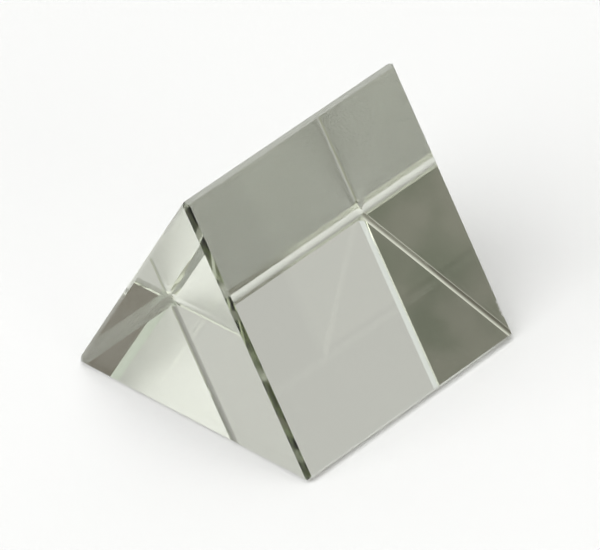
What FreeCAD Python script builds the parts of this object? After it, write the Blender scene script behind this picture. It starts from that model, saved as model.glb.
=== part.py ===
"""Equilateral glass prism, lying on one of its three long faces.

Frame: X across the section, Y along the prism, Z up. The origin is on the resting plane, under the middle.
The block is one piece of optical glass: three polished long faces at 60 degrees to each other and two end
faces square to them. A flat takes the sharpness off each long edge, a bevel runs round each end face, and
the far end's right edge has two short rows of chips near its lower corner.
"""
import FreeCAD, Part
import os
import Sketcher

doc = FreeCAD.newDocument("equilateral_prism")

# Driving sizes in millimetres, and plain counts.
SIZES = [
    ("side", 25.4, "side of the section before its corners are flattened"),
    ("length", 25.0, "end face to end face"),
    ("ridge_flat", 0.58, "width of the flat on the upper long edge"),
    ("toe_flat", 0.67, "width of the flats on the two lower long edges"),
    ("bevel_along", 0.34, "bevel round both end faces, measured along the prism"),
    ("bevel_across", 0.39, "the same bevel, measured across the end face"),
    ("chip_radius", 0.16, "radius of the larger chips"),
    ("chip_start", 2.42, "first larger chip, up the slope from the sharp lower corner"),
    ("chip_pitch", 0.37, "larger chip to larger chip"),
    ("chip_count", 4, "number of larger chips"),
    ("speck_radius", 0.08, "radius of the smaller chips"),
    ("speck_start", 4.7, "first smaller chip, up the slope from the sharp lower corner"),
    ("speck_pitch", 0.33, "smaller chip to smaller chip"),
    ("speck_count", 2, "number of smaller chips"),
]

# The section is drawn round its centre, so these expressions measure from there.
INRADIUS = "sizes.side * tan(30) / 2"
CIRCUMRADIUS = "sizes.side * tan(30)"

# How a sketch refers to its own origin.
MIDDLE = (-1, 1)

sheet = doc.addObject("Spreadsheet::Sheet", "sizes")
for row, (alias, value, note) in enumerate(SIZES, start=1):
    sheet.set(f"A{row}", note)
    sheet.set(f"B{row}", str(value))
    sheet.setAlias(f"B{row}", alias)
doc.recompute()


def origin_item(body, role):
    """The body's own reference plane or axis with this role."""
    return next(item for item in body.Origin.OriginFeatures if item.Role == role)


def new_sketch(body, name, plane):
    """Empty sketch on one of the body's reference planes."""
    sketch = body.newObject("Sketcher::SketchObject", name)
    sketch.AttachmentSupport = [(origin_item(body, plane), "")]
    sketch.MapMode = "FlatFace"
    return sketch


def closed_outline(sketch, points):
    """Straight lines through the points and back to the first. Returns their numbers."""
    corners = [FreeCAD.Vector(across, up, 0) for across, up in points]
    lines = [sketch.addGeometry(Part.LineSegment(start, end), False)
             for start, end in zip(corners, corners[1:] + corners[:1])]
    for line, following in zip(lines, lines[1:] + lines[:1]):
        sketch.addConstraint(Sketcher.Constraint("Coincident", line, 2, following, 1))
    return lines


def drive(sketch, kind, places, expression):
    """Adds a dimension to the sketch and binds it to the expression."""
    number = sketch.addConstraint(Sketcher.Constraint(kind, *places, 1.0))
    sketch.setExpression(f"Constraints[{number}]", expression)


def through_cut(body, name, sketch):
    """Pocket that runs through the whole block, both ways from the sketch."""
    cut = body.newObject("PartDesign::Pocket", name)
    cut.Profile = sketch
    cut.Type = "ThroughAll"
    cut.SideType = "Symmetric"
    doc.recompute()
    return cut


def draw_section(body):
    """Equilateral triangle across the prism, with a level base, centred on the Y axis."""
    sketch = new_sketch(body, "section", "XZ_Plane")
    base, rising, falling = closed_outline(sketch, [(-1, -1), (1, -1), (0, 1)])
    sketch.addConstraint(Sketcher.Constraint("Symmetric", base, 1, base, 2, -2))
    sketch.addConstraint(Sketcher.Constraint("Equal", base, rising))
    sketch.addConstraint(Sketcher.Constraint("Equal", base, falling))
    drive(sketch, "Distance", (base,), "sizes.side")
    drive(sketch, "DistanceY", (base, 1, *MIDDLE), INRADIUS)
    # The slope of the right face, as a reference line for what repeats along that face.
    slope = sketch.addGeometry(Part.LineSegment(FreeCAD.Vector(1, -1, 0), FreeCAD.Vector(0, 1, 0)), True)
    sketch.addConstraint(Sketcher.Constraint("Coincident", slope, 1, rising, 1))
    sketch.addConstraint(Sketcher.Constraint("Coincident", slope, 2, rising, 2))
    return sketch


def bevel_ends(body):
    """Bevels round both end faces: cut along the base, then turned to the two other long faces."""
    sketch = new_sketch(body, "bevel_profile", "YZ_Plane")
    for sign in (-1, 1):
        level, _, upright = closed_outline(sketch, [(sign * 2, -2), (sign, -2), (sign * 2, -1)])
        corner, inner = (level, 1), (level, 2)
        sketch.addConstraint(Sketcher.Constraint("Horizontal", level))
        sketch.addConstraint(Sketcher.Constraint("Vertical", upright))
        drive(sketch, "DistanceY", (*corner, *MIDDLE), INRADIUS)
        drive(sketch, "DistanceY", (*corner, upright, 1), "sizes.bevel_across")
        # A distance along X is taken from its left point to its right one.
        outward = (*corner, *MIDDLE) if sign < 0 else (*MIDDLE, *corner)
        across = (*corner, *inner) if sign < 0 else (*inner, *corner)
        drive(sketch, "DistanceX", outward, "sizes.length / 2")
        drive(sketch, "DistanceX", across, "sizes.bevel_along")
    base_cut = through_cut(body, "base_bevels", sketch)
    turned = body.newObject("PartDesign::PolarPattern", "end_bevels")
    turned.Originals = [base_cut]
    turned.Axis = (origin_item(body, "Y_Axis"), [""])
    # Once for each long face.
    turned.Angle = 360
    turned.Occurrences = 3
    body.Tip = turned
    doc.recompute()


def flatten_edge(body, name, turn):
    """Cuts one long edge down to a flat. The turn in degrees leads from the ridge to that edge."""
    sketch = new_sketch(body, f"{name}_profile", "XZ_Plane")
    sketch.AttachmentOffset = FreeCAD.Placement(
        FreeCAD.Vector(0, 0, 0), FreeCAD.Rotation(FreeCAD.Vector(0, 0, 1), turn))
    flat, right, top, left = closed_outline(sketch, [(-1, 1), (1, 1), (1, 2), (-1, 2)])
    sketch.addConstraint(Sketcher.Constraint("Symmetric", flat, 1, flat, 2, -2))
    sketch.addConstraint(Sketcher.Constraint("Horizontal", top))
    for line in (right, left):
        sketch.addConstraint(Sketcher.Constraint("Vertical", line))
    # At the flat's level the section is as wide as the flat. The cut is twice that, and as tall.
    drive(sketch, "DistanceX", (flat, 1, flat, 2), f"2 * sizes.{name}")
    drive(sketch, "DistanceY", (right, 1, right, 2), f"sizes.{name}")
    drive(sketch, "DistanceY", (*MIDDLE, flat, 1), f"{CIRCUMRADIUS} - sizes.{name} * cos(30)")
    return through_cut(body, f"{name}_cut", sketch)


def chip_row(body, name, slope):
    """Chips broken out of the far end's right bevel: short round grooves across it, up the slope in a row."""
    chip = body.newObject("PartDesign::SubtractiveCylinder", name)
    chip.AttachmentSupport = [(origin_item(body, "XZ_Plane"), "")]
    chip.MapMode = "FlatFace"
    # A chip lies on the bevel, square to its edges, and runs out past both by half the bevel's width.
    # It leans from the prism's length towards the right face, about a line up that face's slope.
    uphill = FreeCAD.Rotation(FreeCAD.Vector(0, 0, 1), 30).multVec(FreeCAD.Vector(0, 1, 0))
    chip.AttachmentOffset = FreeCAD.Placement(FreeCAD.Vector(0, 0, 0), FreeCAD.Rotation(uphill, 45))
    chip.setExpression("AttachmentOffset.Rotation.Angle", "atan(sizes.bevel_across / sizes.bevel_along)")
    chip.setExpression("Radius", f"sizes.{name}_radius")
    chip.setExpression("Height", "2 * hypot(sizes.bevel_along; sizes.bevel_across)")
    chip.setExpression(
        "AttachmentOffset.Base.x",
        f"sizes.side / 2 - 1.5 * sizes.bevel_across * cos(30) - sizes.{name}_start * cos(60)")
    chip.setExpression(
        "AttachmentOffset.Base.y",
        f"sizes.{name}_start * sin(60) - 1.5 * sizes.bevel_across * sin(30) - {INRADIUS}")
    chip.setExpression("AttachmentOffset.Base.z", "-(sizes.length + sizes.bevel_along) / 2")
    doc.recompute()
    repeated = body.newObject("PartDesign::LinearPattern", f"{name}_row")
    repeated.Originals = [chip]
    repeated.Direction = (slope, ["Axis0"])
    repeated.Mode = "Spacing"
    repeated.setExpression("Offset", f"sizes.{name}_pitch")
    repeated.setExpression("Occurrences", f"sizes.{name}_count")
    body.Tip = repeated
    doc.recompute()


def build_prism():
    """The glass block: triangular pad, bevelled ends, flats on the long edges, chips."""
    body = doc.addObject("PartDesign::Body", "prism")
    body.Label = "prism"
    section = draw_section(body)

    block = body.newObject("PartDesign::Pad", "block")
    block.Profile = section
    block.SideType = "Symmetric"
    block.setExpression("Length", "sizes.length")
    doc.recompute()

    bevel_ends(body)
    # The long edges are a third of a turn apart.
    flatten_edge(body, "ridge_flat", 0)
    first_toe = flatten_edge(body, "toe_flat", 120)
    both_toes = body.newObject("PartDesign::Mirrored", "toe_flats")
    both_toes.Originals = [first_toe]
    both_toes.MirrorPlane = (origin_item(body, "YZ_Plane"), [""])
    body.Tip = both_toes
    doc.recompute()

    chip_row(body, "chip", section)
    chip_row(body, "speck", section)
    # Lifted so that the base face lies on the resting plane.
    body.setExpression("Placement.Base.z", INRADIUS)
    doc.recompute()
    return body


def check_model(bodies):
    """Stops when a feature failed or a piece is not one valid solid."""
    for item in doc.Objects:
        if "Invalid" in item.State or "Error" in item.State:
            raise RuntimeError(f"{item.Name} failed: {item.State}")
    for body in bodies:
        if body.Shape.isNull() or not body.Shape.isValid() or len(body.Shape.Solids) != 1:
            raise RuntimeError(f"{body.Label} is not one valid solid")


pieces = [build_prism()]
doc.recompute()
check_model(pieces)

os.makedirs("parts", exist_ok=True)
for piece in pieces:
    piece.Shape.exportStep(f"parts/{piece.Label}.step")
    box = piece.Shape.BoundBox
    print(piece.Label, "volume", round(piece.Shape.Volume, 3), "faces", len(piece.Shape.Faces),
          "box", [round(v, 3) for v in (box.XMin, box.XMax, box.YMin, box.YMax, box.ZMin, box.ZMax)])
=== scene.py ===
"""Clear glass equilateral prism on seamless paper, in soft studio light."""
import math

import bpy
import numpy as np
from mathutils import Matrix, Vector


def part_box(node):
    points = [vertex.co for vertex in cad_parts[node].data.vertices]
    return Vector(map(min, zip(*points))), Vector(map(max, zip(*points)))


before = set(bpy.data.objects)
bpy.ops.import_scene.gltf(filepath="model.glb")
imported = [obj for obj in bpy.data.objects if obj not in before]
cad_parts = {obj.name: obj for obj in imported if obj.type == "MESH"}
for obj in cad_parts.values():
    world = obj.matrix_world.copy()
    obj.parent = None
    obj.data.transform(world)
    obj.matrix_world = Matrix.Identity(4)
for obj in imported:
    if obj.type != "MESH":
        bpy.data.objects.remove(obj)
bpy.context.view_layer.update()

MM = 0.001
SIN_30 = math.sin(math.radians(30))
COS_30 = math.cos(math.radians(30))

# The prism's own sizes, read from the frame: it lies along Y with its ridge on top.
PRISM = "prism"
low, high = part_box(PRISM)
HALF_LENGTH = (high[1] - low[1]) / 2
# Side of the section before its corners are flattened.
SIDE = 25.4 * MM
INRADIUS = SIDE * math.tan(math.radians(30)) / 2

# The photograph's view: a long lens from far away, a touch of roll.
CAMERA_AZIMUTH = 42.61
CAMERA_ELEVATION = 36.51
CAMERA_ROLL = -1.79
CAMERA_DISTANCE = 0.7017
CAMERA_AIM = Vector((0, 0, 0.00711))
CAMERA_SHIFT_RIGHT = 0.00045
CAMERA_SHIFT_UP = 0.00037
CAMERA_CLIP_END = 5
LENS_MM = 526.2

# Glass.
GLASS_INDEX = 1.52
GLASS_TINT = (0.918, 0.93, 0.885, 1)
TINT_DENSITY = 75.0
# Light meets many faces inside the prism before it leaves.
BOUNCES = 32

# Bevels round both ends. On a bevel the depths below the long face and below the end face, as shares of
# these widths, add up to one, within the tolerance.
BEVEL_ALONG = 0.34 * MM
BEVEL_ACROSS = 0.39 * MM
BEVEL_TOLERANCE = 0.01
# A point deeper than the first below every polished face is on a bevel or a flat, and none is deeper than
# the second below the faces beside it.
POLISH_DEPTH = 0.002 * MM
EDGE_WIDTH = 0.6 * MM
# Bevels and flats are slightly rounded across: a longer reach makes them flatter.
BEVEL_REACH = 5 * MM
FLAT_REACH = 30 * MM

# Finish of the bevels and the flats: the least roughness, and what the grain adds to it.
BEVEL_ROUGHNESS = 0.03
BEVEL_GRAIN = 0.04
FLAT_ROUGHNESS = 0.29
FLAT_GRAIN = 0.10
GRAIN_SCALE = 12000
GRAIN_DETAIL = 3
FLAT_SCATTER = 0.35

# The soft lamp stands high, past the near end.
LAMP_STRENGTH = 1.7
LAMP_SPREAD = 60
LAMP_AZIMUTH = -10
LAMP_ELEVATION = 38

# A round sheet of paper, just under the prism: flat in the middle, then rising.
PAPER_COLOUR = (0.93, 0.93, 0.95, 1)
PAPER_RADIUS = 1.3
PAPER_FLAT_RADIUS = 0.3
PAPER_RISE = 0.02
PAPER_LEVEL = -0.02 * MM
PAPER_RINGS = 26
PAPER_SPOKES = 96

# The room's light by direction. A direction has a part across the prism, one along it and one up, and each
# pair holds the values of such a part between which one area of the room passes into the next.
CEILING_UP = (0.3, 0.5)
FAR_CEILING_ALONG = (-0.5, 0.0)
OVERHEAD_UP = (0.88, 0.93)
RIGHT_WALL_ACROSS = (0.2, 0.7)
FAR_WALL_ALONG = (-0.2, 0.2)
NEAR_CEILING_DARK = (0.160, 0.170, 0.135, 1)
NEAR_CEILING_PALE = (0.225, 0.222, 0.190, 1)
FAR_CEILING = (0.26, 0.265, 0.225, 1)
OVERHEAD = (2.55, 2.55, 2.47, 1)
LEFT_WALL = (0.17, 0.16, 0.135, 1)
RIGHT_WALL_NEAR = (0.80, 0.80, 0.73, 1)
RIGHT_WALL_FAR = (0.165, 0.145, 0.118, 1)

# A pale strip low past the near end, faded at its four sides.
STRIP_COLOUR = (0.95, 0.95, 0.88, 1)
STRIP_BOTTOM_UP = (0.16, 0.31)
STRIP_TOP_UP = (0.50, 0.40)
STRIP_ALONG = (-0.5, -0.8)
STRIP_ACROSS = (0.2, -0.1)

# Round patches of the room: direction of the middle, cosines of the outer and the inner radius, colour.
FAR_LEFT_GLOW = ((-0.5, 0.66, 0.56), (0.70, 0.87), (0.59, 0.585, 0.58, 1))
FAR_SHADE = ((0.03, 0.96, 0.27), (0.95, 0.985), (0.06, 0.06, 0.05, 1))
LEFT_SOFT_BOX = ((-0.72, 0.03, 0.69), (0.94, 0.97), (0.8, 0.82, 0.83, 1))
RIGHT_PANEL = ((0.96, -0.20, 0.21), (0.92, 0.97), (2.0, 2.0, 1.9, 1))
NEAR_PANEL = ((0.47, -0.86, 0.20), (0.92, 0.97), (1.0, 1.0, 0.95, 1))
NEAR_PANEL_SHADE = ((0.64, -0.77, 0.10), (0.985, 0.995), (0.42, 0.42, 0.37, 1))
OVERHEAD_SHADE = ((0.23, -0.18, 0.96), (0.97, 0.98), (0.62, 0.66, 0.62, 1))

# Fine noise mottles the ceiling past the near end. Coarse noise makes the whole room's light uneven.
MOTTLE_SCALE = 120
MOTTLE_DETAIL = 2
MOTTLE_EDGE = (0.35, 0.65)
UNEVEN_SCALE = 3
UNEVEN_DETAIL = 1
UNEVEN_SHARE = 0.5
LEAST_LIGHT = 0.75

# A Mix node's sockets share their names, so each kind has the places of its inputs and of its output.
MIX_PLACES = {"FLOAT": (2, 3, 0), "VECTOR": (4, 5, 1), "RGBA": (6, 7, 2)}


def link(tree, source, target):
    """Joins two sockets."""
    tree.links.new(source, target)


def new_node(tree, kind, **values):
    """A node with its plain properties set."""
    node = tree.nodes.new(kind)
    for name, value in values.items():
        setattr(node, name, value)
    return node


def maths(tree, operation, first, second=None, third=None):
    """One Math node. Numbers are written into it and sockets are linked to it."""
    node = new_node(tree, "ShaderNodeMath", operation=operation)
    for place, value in enumerate((first, second, third)):
        if value is None:
            continue
        if isinstance(value, (int, float)):
            node.inputs[place].default_value = value
        else:
            link(tree, value, node.inputs[place])
    return node.outputs[0]


def blend(tree, kind, amount, first, second):
    """Mix of two values of one kind, each written down or linked."""
    node = new_node(tree, "ShaderNodeMix", data_type=kind)
    link(tree, amount, node.inputs[0])
    first_place, second_place, result_place = MIX_PLACES[kind]
    for place, value in ((first_place, first), (second_place, second)):
        if isinstance(value, tuple):
            node.inputs[place].default_value = value
        else:
            link(tree, value, node.inputs[place])
    return node.outputs[result_place]


def noise(tree, vector, scale, detail):
    """Soft noise between 0 and 1."""
    node = new_node(tree, "ShaderNodeTexNoise", noise_dimensions="3D")
    node.inputs["Scale"].default_value = scale
    node.inputs["Detail"].default_value = detail
    link(tree, vector, node.inputs["Vector"])
    return node.outputs["Fac"]


def least(tree, values):
    """The smallest of several values."""
    result = values[0]
    for value in values[1:]:
        result = maths(tree, "MINIMUM", result, value)
    return result


def depths(tree, position):
    """How deep a point lies below each polished face, as one socket for each face."""
    parts = new_node(tree, "ShaderNodeSeparateXYZ")
    link(tree, position, parts.inputs[0])
    across, along, up = parts.outputs
    height = maths(tree, "SUBTRACT", up, INRADIUS)
    lean = maths(tree, "MULTIPLY", height, SIN_30)
    inward = maths(tree, "SUBTRACT", INRADIUS, lean)
    shift = maths(tree, "MULTIPLY", across, COS_30)
    return {
        "right": maths(tree, "SUBTRACT", inward, shift),
        "left": maths(tree, "ADD", inward, shift),
        "base": up,
        "far": maths(tree, "SUBTRACT", HALF_LENGTH, along),
        "near": maths(tree, "ADD", along, HALF_LENGTH),
    }


def rounded_normal(tree, depth, bevel, plain):
    """Sum of the normals of the faces that meet at an edge, so that it turns from one face to the other.

    A nearer face weighs more. The sum points to the side of the glass that the plain normal points to.
    """
    reach = maths(tree, "MULTIPLY_ADD", bevel, BEVEL_REACH - FLAT_REACH, FLAT_REACH)
    weight = {face: maths(tree, "MULTIPLY", maths(tree, "SUBTRACT", reach, value),
                          maths(tree, "LESS_THAN", value, EDGE_WIDTH))
              for face, value in depth.items()}
    # Only a bevel turns towards an end face. Halfway across, the near ones have the solid's own lean and the
    # far ones lie at 45 degrees.
    lean = maths(tree, "MULTIPLY", bevel, BEVEL_ACROSS / BEVEL_ALONG)
    weight["near"] = maths(tree, "MULTIPLY", weight["near"], lean)
    weight["far"] = maths(tree, "MULTIPLY", weight["far"], bevel)
    across = maths(tree, "MULTIPLY", maths(tree, "SUBTRACT", weight["right"], weight["left"]), COS_30)
    along = maths(tree, "SUBTRACT", weight["far"], weight["near"])
    slopes = maths(tree, "MULTIPLY", maths(tree, "ADD", weight["right"], weight["left"]), SIN_30)
    up = maths(tree, "SUBTRACT", slopes, weight["base"])
    joined = new_node(tree, "ShaderNodeCombineXYZ")
    for place, value in enumerate((across, along, up)):
        link(tree, value, joined.inputs[place])
    agreement = new_node(tree, "ShaderNodeVectorMath", operation="DOT_PRODUCT")
    link(tree, joined.outputs[0], agreement.inputs[0])
    link(tree, plain, agreement.inputs[1])
    turned = new_node(tree, "ShaderNodeVectorMath", operation="SCALE")
    link(tree, joined.outputs[0], turned.inputs[0])
    link(tree, maths(tree, "SIGN", agreement.outputs["Value"]), turned.inputs["Scale"])
    unit = new_node(tree, "ShaderNodeVectorMath", operation="NORMALIZE")
    link(tree, turned.outputs[0], unit.inputs[0])
    return unit.outputs[0]


def edge_masks(tree, depth):
    """Three sockets that are 1 on what isn't polished, on the bevels and on the flats, and 0 elsewhere."""
    to_side = least(tree, [depth["right"], depth["left"], depth["base"]])
    to_end = least(tree, [depth["near"], depth["far"]])
    lapped = maths(tree, "GREATER_THAN", maths(tree, "MINIMUM", to_side, to_end), POLISH_DEPTH)
    across = maths(tree, "DIVIDE", to_side, BEVEL_ACROSS)
    along = maths(tree, "DIVIDE", to_end, BEVEL_ALONG)
    bevel = maths(tree, "COMPARE", maths(tree, "ADD", across, along), 1, BEVEL_TOLERANCE)
    bevel = maths(tree, "MULTIPLY", bevel, lapped)
    flat = maths(tree, "MULTIPLY", lapped, maths(tree, "GREATER_THAN", to_end, BEVEL_ALONG))
    return lapped, bevel, flat


def optical_glass():
    """Polished clear glass with finely ground, slightly rounded edges."""
    material = bpy.data.materials.new("optical_glass")
    material.use_nodes = True
    tree = material.node_tree
    tree.nodes.clear()
    place = new_node(tree, "ShaderNodeTexCoord")
    depth = depths(tree, place.outputs["Object"])
    lapped, bevel, flat = edge_masks(tree, depth)
    grain = noise(tree, place.outputs["Object"], GRAIN_SCALE, GRAIN_DETAIL)
    fine = maths(tree, "MULTIPLY_ADD", grain, BEVEL_GRAIN, BEVEL_ROUGHNESS)
    coarse = maths(tree, "MULTIPLY_ADD", grain, FLAT_GRAIN, FLAT_ROUGHNESS)
    roughness = maths(tree, "MULTIPLY", lapped, blend(tree, "FLOAT", bevel, coarse, fine))
    plain = new_node(tree, "ShaderNodeNewGeometry").outputs["True Normal"]
    rounded = rounded_normal(tree, depth, bevel, plain)
    normal = blend(tree, "VECTOR", maths(tree, "MAXIMUM", bevel, flat), plain, rounded)
    surface = new_node(tree, "ShaderNodeBsdfPrincipled")
    surface.inputs["Base Color"].default_value = (1, 1, 1, 1)
    surface.inputs["IOR"].default_value = GLASS_INDEX
    surface.inputs["Transmission Weight"].default_value = 1
    link(tree, roughness, surface.inputs["Roughness"])
    link(tree, normal, surface.inputs["Normal"])
    # The flats are ground, so they scatter a little of the light that falls on them.
    link(tree, maths(tree, "MULTIPLY", flat, FLAT_SCATTER), surface.inputs["Sheen Weight"])
    surface.inputs["Sheen Roughness"].default_value = 1
    tint = new_node(tree, "ShaderNodeVolumeAbsorption")
    tint.inputs["Color"].default_value = GLASS_TINT
    tint.inputs["Density"].default_value = TINT_DENSITY
    output = new_node(tree, "ShaderNodeOutputMaterial")
    link(tree, surface.outputs[0], output.inputs["Surface"])
    link(tree, tint.outputs[0], output.inputs["Volume"])
    return material


def white_paper():
    """Matt pale paper."""
    material = bpy.data.materials.new("white_paper")
    material.use_nodes = True
    surface = material.node_tree.nodes["Principled BSDF"]
    surface.inputs["Base Color"].default_value = PAPER_COLOUR
    surface.inputs["Roughness"].default_value = 1
    surface.inputs["Specular IOR Level"].default_value = 0
    return material


def seamless_paper():
    """Round sheet in polar form: a flat middle, then a rise with the square of the distance from it."""
    radius, turn = np.meshgrid(np.linspace(0, PAPER_RADIUS, PAPER_RINGS + 1)[1:],
                               np.linspace(0, 2 * np.pi, PAPER_SPOKES + 1)[:-1], indexing="ij")
    level = PAPER_LEVEL + PAPER_RISE * np.clip(radius - PAPER_FLAT_RADIUS, 0, None) ** 2
    rings = np.stack([radius * np.cos(turn), radius * np.sin(turn), level], axis=-1).reshape(-1, 3)
    points = np.vstack([rings, [[0, 0, PAPER_LEVEL]]])
    inner = np.arange(len(rings) - PAPER_SPOKES).reshape(-1, PAPER_SPOKES)
    following = np.roll(inner, -1, axis=1)
    quads = np.stack([inner, inner + PAPER_SPOKES, following + PAPER_SPOKES, following], axis=-1)
    first = np.arange(PAPER_SPOKES)
    fan = np.stack([np.full(PAPER_SPOKES, len(rings)), first, np.roll(first, -1)], axis=-1)
    mesh = bpy.data.meshes.new("paper")
    mesh.from_pydata(points.tolist(), [], quads.reshape(-1, 4).tolist() + fan.tolist())
    mesh.shade_smooth()
    sheet = bpy.data.objects.new("paper", mesh)
    bpy.context.collection.objects.link(sheet)
    sheet.data.materials.append(white_paper())


def step_between(tree, value, ends):
    """0 at the first of the two ends and before it, 1 at the second and past it, smooth between them."""
    node = new_node(tree, "ShaderNodeMapRange", interpolation_type="SMOOTHSTEP")
    node.inputs["From Min"].default_value, node.inputs["From Max"].default_value = ends
    link(tree, value, node.inputs["Value"])
    return node.outputs[0]


def paint_patch(tree, way, room, patch):
    """Paints one round patch over the room."""
    middle, radii, colour = patch
    towards = new_node(tree, "ShaderNodeVectorMath", operation="DOT_PRODUCT")
    link(tree, way, towards.inputs[0])
    towards.inputs[1].default_value = Vector(middle).normalized()
    return blend(tree, "RGBA", step_between(tree, towards.outputs["Value"], radii), room, colour)


def room_ceiling(tree, way, along, up):
    """Grey ceiling, mottled past the near end, with a glow at the far left and a bright area overhead."""
    mottle = step_between(tree, noise(tree, way, MOTTLE_SCALE, MOTTLE_DETAIL), MOTTLE_EDGE)
    near_ceiling = blend(tree, "RGBA", mottle, NEAR_CEILING_DARK, NEAR_CEILING_PALE)
    ceiling = blend(tree, "RGBA", step_between(tree, along, FAR_CEILING_ALONG), near_ceiling, FAR_CEILING)
    ceiling = paint_patch(tree, way, ceiling, FAR_LEFT_GLOW)
    return blend(tree, "RGBA", step_between(tree, up, OVERHEAD_UP), ceiling, OVERHEAD)


def room_walls(tree, across, along):
    """Dim low walls, paler at the right of the near end."""
    to_far = step_between(tree, along, FAR_WALL_ALONG)
    to_right = step_between(tree, across, RIGHT_WALL_ACROSS)
    right_wall = blend(tree, "RGBA", to_far, RIGHT_WALL_NEAR, RIGHT_WALL_FAR)
    return blend(tree, "RGBA", to_right, LEFT_WALL, right_wall)


def pale_strip(tree, across, along, up):
    """1 on the pale strip past the near end and 0 elsewhere."""
    strip = step_between(tree, up, STRIP_BOTTOM_UP)
    for part, ends in ((up, STRIP_TOP_UP), (along, STRIP_ALONG), (across, STRIP_ACROSS)):
        strip = maths(tree, "MULTIPLY", strip, step_between(tree, part, ends))
    return strip


def studio_room():
    """The room's light by direction: ceiling and walls, a strip and patches on them, all of it uneven."""
    world = bpy.data.worlds.new("room")
    bpy.context.scene.world = world
    world.use_nodes = True
    tree = world.node_tree
    tree.nodes.clear()
    way = new_node(tree, "ShaderNodeTexCoord").outputs["Generated"]
    parts = new_node(tree, "ShaderNodeSeparateXYZ")
    link(tree, way, parts.inputs[0])
    across, along, up = parts.outputs
    room = blend(tree, "RGBA", step_between(tree, up, CEILING_UP),
                 room_walls(tree, across, along), room_ceiling(tree, way, along, up))
    room = paint_patch(tree, way, room, FAR_SHADE)
    room = blend(tree, "RGBA", pale_strip(tree, across, along, up), room, STRIP_COLOUR)
    for patch in (LEFT_SOFT_BOX, RIGHT_PANEL, NEAR_PANEL, NEAR_PANEL_SHADE, OVERHEAD_SHADE):
        room = paint_patch(tree, way, room, patch)
    level = noise(tree, way, UNEVEN_SCALE, UNEVEN_DETAIL)
    uneven = new_node(tree, "ShaderNodeVectorMath", operation="SCALE")
    link(tree, room, uneven.inputs[0])
    link(tree, maths(tree, "MULTIPLY_ADD", level, UNEVEN_SHARE, LEAST_LIGHT), uneven.inputs["Scale"])
    light = new_node(tree, "ShaderNodeBackground")
    link(tree, uneven.outputs[0], light.inputs["Color"])
    output = new_node(tree, "ShaderNodeOutputWorld")
    link(tree, light.outputs[0], output.inputs["Surface"])


def soft_lamp():
    """One wide soft lamp, high and past the near end."""
    data = bpy.data.lights.new("soft_lamp", "SUN")
    data.energy = LAMP_STRENGTH
    data.angle = math.radians(LAMP_SPREAD)
    lamp = bpy.data.objects.new("soft_lamp", data)
    lamp.rotation_euler = (math.radians(90 - LAMP_ELEVATION), 0, math.radians(LAMP_AZIMUTH))
    # It lights the paper and isn't seen in the glass.
    lamp.visible_glossy = False
    lamp.visible_transmission = False
    bpy.context.collection.objects.link(lamp)


def photo_camera():
    """Camera at the photograph's viewing angle."""
    azimuth, elevation = math.radians(CAMERA_AZIMUTH), math.radians(CAMERA_ELEVATION)
    roll = math.radians(CAMERA_ROLL)
    back = Vector((math.sin(azimuth) * math.cos(elevation), -math.cos(azimuth) * math.cos(elevation),
                   math.sin(elevation)))
    right = Vector((math.cos(azimuth), math.sin(azimuth), 0))
    up = back.cross(right)
    rolled_right = right * math.cos(roll) + up * math.sin(roll)
    rolled_up = up * math.cos(roll) - right * math.sin(roll)
    data = bpy.data.cameras.new("camera")
    data.lens = LENS_MM
    data.clip_end = CAMERA_CLIP_END
    camera = bpy.data.objects.new("camera", data)
    turn = Matrix((rolled_right, rolled_up, back)).transposed().to_4x4()
    shift = rolled_right * CAMERA_SHIFT_RIGHT + rolled_up * CAMERA_SHIFT_UP
    where = CAMERA_AIM + back * CAMERA_DISTANCE + shift
    camera.matrix_world = Matrix.Translation(where) @ turn
    bpy.context.collection.objects.link(camera)
    bpy.context.scene.camera = camera


def light_bounces():
    """Lets light bounce often enough inside the prism, and cleans the picture by its colours."""
    cycles = bpy.context.scene.cycles
    cycles.max_bounces = BOUNCES
    cycles.glossy_bounces = BOUNCES
    cycles.transmission_bounces = BOUNCES
    # The faces seen through the glass have no guide of their own.
    cycles.denoising_input_passes = "RGB"


glass = optical_glass()
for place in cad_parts[PRISM].material_slots:
    place.material = glass

seamless_paper()
studio_room()
soft_lamp()
photo_camera()
light_bounces()
bpy.context.scene.view_settings.view_transform = "Standard"
